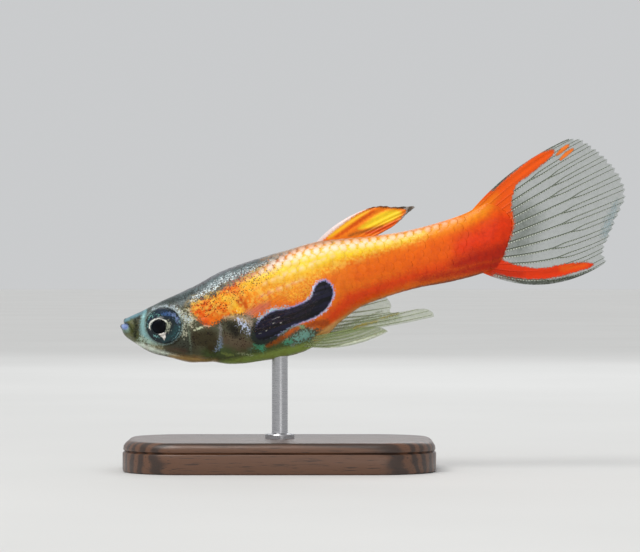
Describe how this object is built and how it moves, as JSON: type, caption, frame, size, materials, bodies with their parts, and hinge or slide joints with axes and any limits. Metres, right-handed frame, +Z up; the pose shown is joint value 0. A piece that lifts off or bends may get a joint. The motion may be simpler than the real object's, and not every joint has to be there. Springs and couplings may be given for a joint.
{
  "type": "endler guppy",
  "caption": "Still, life-size display model of a male Endler guppy, tail raised, held by a rod on a small wooden stand.",
  "frame": {"origin": "the centre of the stand's underside, on the floor, under the rod", "axes": "+X towards the tail, the snout at -X, +Y the fish's right side, +Z up"},
  "size_m": [0.0291, 0.011, 0.0191],
  "materials": {
    "head_skin": "wet, satin, with silver and blue flecks",
    "jaw_skin": "wet, satin, pale violet",
    "eye": "glossy, silver ring round a black pupil",
    "gill_cover": "wet, satin, pale blue edge",
    "body_skin": "wet scales, yellow back, orange to red flank, black comma mark",
    "dorsal_fin": "thin translucent membrane with rays",
    "caudal_fin": "thin translucent membrane with rays, orange bands above and below",
    "clear_fin": "thin clear membrane with fine rays",
    "stand_wood": "dark, satin lacquer",
    "stand_steel": "brushed"
  },
  "bodies": {
    "root": {"head": "head_skin", "lower_jaw": "jaw_skin", "eye_left": "eye", "eye_right": "eye", "gill_cover_left": "gill_cover", "gill_cover_right": "gill_cover", "trunk": "body_skin", "tail_stalk": "body_skin", "dorsal_fin": "dorsal_fin", "caudal_fin": "caudal_fin", "anal_fin": "clear_fin", "pelvic_fin_left": "clear_fin", "pelvic_fin_right": "clear_fin", "pectoral_fin_left": "clear_fin", "pectoral_fin_right": "clear_fin", "stand_base": "stand_wood", "stand_rod": "stand_steel"}
  },
  "joints": []
}
